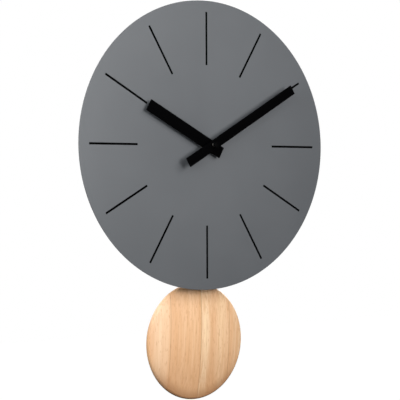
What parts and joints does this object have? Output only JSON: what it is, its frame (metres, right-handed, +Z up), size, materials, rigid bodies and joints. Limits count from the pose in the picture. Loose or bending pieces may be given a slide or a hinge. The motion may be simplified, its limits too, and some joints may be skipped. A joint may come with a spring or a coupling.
{
  "type": "pendulum wall clock",
  "caption": "Round sheet-metal wall clock with two bar hands, line hour markers, a battery movement in a rear housing and a swinging wooden disc pendulum below the dial.",
  "frame": {"origin": "centre of the hanger plate's round keyhole opening, on the plate's rear face, in the plane of the wall", "axes": "+X to the right of someone facing the clock, +Z up, +Y into the wall; the dial faces -Y"},
  "size_m": [0.34, 0.0693, 0.4721],
  "materials": {
    "dial_paint": "matte powder coat",
    "print_black": "matte ink",
    "hand_black": "matte",
    "bob_wood": "fine sanded, clear matte lacquer",
    "brass": "turned",
    "steel": "bright",
    "zinc_steel": "zinc plated",
    "dark_steel": "sintered magnet",
    "black_plastic": "moulded texture",
    "white_plastic": "moulded acetal",
    "board_green": "solder resist",
    "copper": "enamelled wire",
    "battery_sleeve": "plain printed sleeve",
    "rubber": "soft"
  },
  "bodies": {
    "clock_frame": {"dial_plate": "dial_paint", "hour_markers": "print_black", "dial_washer": "brass", "dial_nut": "brass", "dial_gasket": "rubber", "movement_case": "black_plastic", "train_cover": "black_plastic", "drive_cover": "black_plastic", "train_plate": "white_plastic", "threaded_bushing": "brass", "motor_stator": "steel", "motor_core": "steel", "motor_bobbin": "white_plastic", "motor_coil": "copper", "battery": "battery_sleeve", "positive_contact": "zinc_steel", "negative_contact": "zinc_steel", "circuit_board": "board_green", "quartz_crystal": "steel", "driver_chip": "black_plastic", "drive_bobbin": "white_plastic", "drive_coil": "copper", "lever_clip": "steel", "lever_pin": "steel", "rear_housing": "black_plastic", "dial_studs": "steel", "stud_nuts": "zinc_steel", "wall_pads": "rubber", "hanger_plate": "zinc_steel", "hanger_screws": "zinc_steel"},
    "minute_set": {"minute_hand": "hand_black", "minute_hand_collet": "steel", "hand_cap_nut": "hand_black", "minute_arbor": "brass", "clutch_spring": "steel"},
    "hour_set": {"hour_hand": "hand_black", "hour_hand_collet": "hand_black", "hour_wheel": "white_plastic"},
    "setting": {"minute_wheel": "white_plastic", "set_knob": "black_plastic"},
    "seconds": {"seconds_wheel": "white_plastic"},
    "intermediate": {"intermediate_wheel": "white_plastic"},
    "rotor": {"rotor_pinion": "white_plastic", "rotor_magnet": "dark_steel"},
    "third": {"third_wheel": "white_plastic"},
    "centre": {"centre_wheel": "white_plastic"},
    "pendulum": {"pendulum_lever": "white_plastic", "lever_magnet": "dark_steel", "pendulum_rod": "zinc_steel", "pendulum_bob": "bob_wood"}
  },
  "joints": [
    {"name": "minute_spin", "type": "hinge", "parent": "clock_frame", "child": "minute_set", "pos_m": [0, -0.045, -0.062], "axis": [0, 1, 0], "continuous": true},
    {"name": "hour_spin", "type": "hinge", "parent": "clock_frame", "child": "hour_set", "pos_m": [0, -0.045, -0.062], "axis": [0, 1, 0], "continuous": true},
    {"name": "setting_spin", "type": "hinge", "parent": "clock_frame", "child": "setting", "pos_m": [-0.01301, -0.045, -0.06561], "axis": [0, 1, 0], "continuous": true},
    {"name": "seconds_spin", "type": "hinge", "parent": "clock_frame", "child": "seconds", "pos_m": [0, -0.045, -0.062], "axis": [0, 1, 0], "continuous": true},
    {"name": "intermediate_spin", "type": "hinge", "parent": "clock_frame", "child": "intermediate", "pos_m": [-0.00891, -0.045, -0.05309], "axis": [0, 1, 0], "continuous": true},
    {"name": "rotor_spin", "type": "hinge", "parent": "clock_frame", "child": "rotor", "pos_m": [-0.01527, -0.045, -0.04673], "axis": [0, 1, 0], "continuous": true},
    {"name": "third_spin", "type": "hinge", "parent": "clock_frame", "child": "third", "pos_m": [0.01221, -0.045, -0.0585], "axis": [0, 1, 0], "continuous": true},
    {"name": "centre_spin", "type": "hinge", "parent": "clock_frame", "child": "centre", "pos_m": [0, -0.045, -0.062], "axis": [0, 1, 0], "continuous": true},
    {"name": "pendulum_swing", "type": "hinge", "parent": "clock_frame", "child": "pendulum", "pos_m": [0, -0.033, -0.1005], "axis": [0, 1, 0], "range_deg": [-8, 8]}
  ],
  "couplings": [
    {"joint": "hour_spin", "follows": "minute_spin", "ratio": 0.083333},
    {"joint": "setting_spin", "follows": "minute_spin", "ratio": -0.33333},
    {"joint": "intermediate_spin", "follows": "seconds_spin", "ratio": -6},
    {"joint": "rotor_spin", "follows": "seconds_spin", "ratio": 30},
    {"joint": "third_spin", "follows": "seconds_spin", "ratio": -0.13333},
    {"joint": "centre_spin", "follows": "seconds_spin", "ratio": 0.016667}
  ]
}
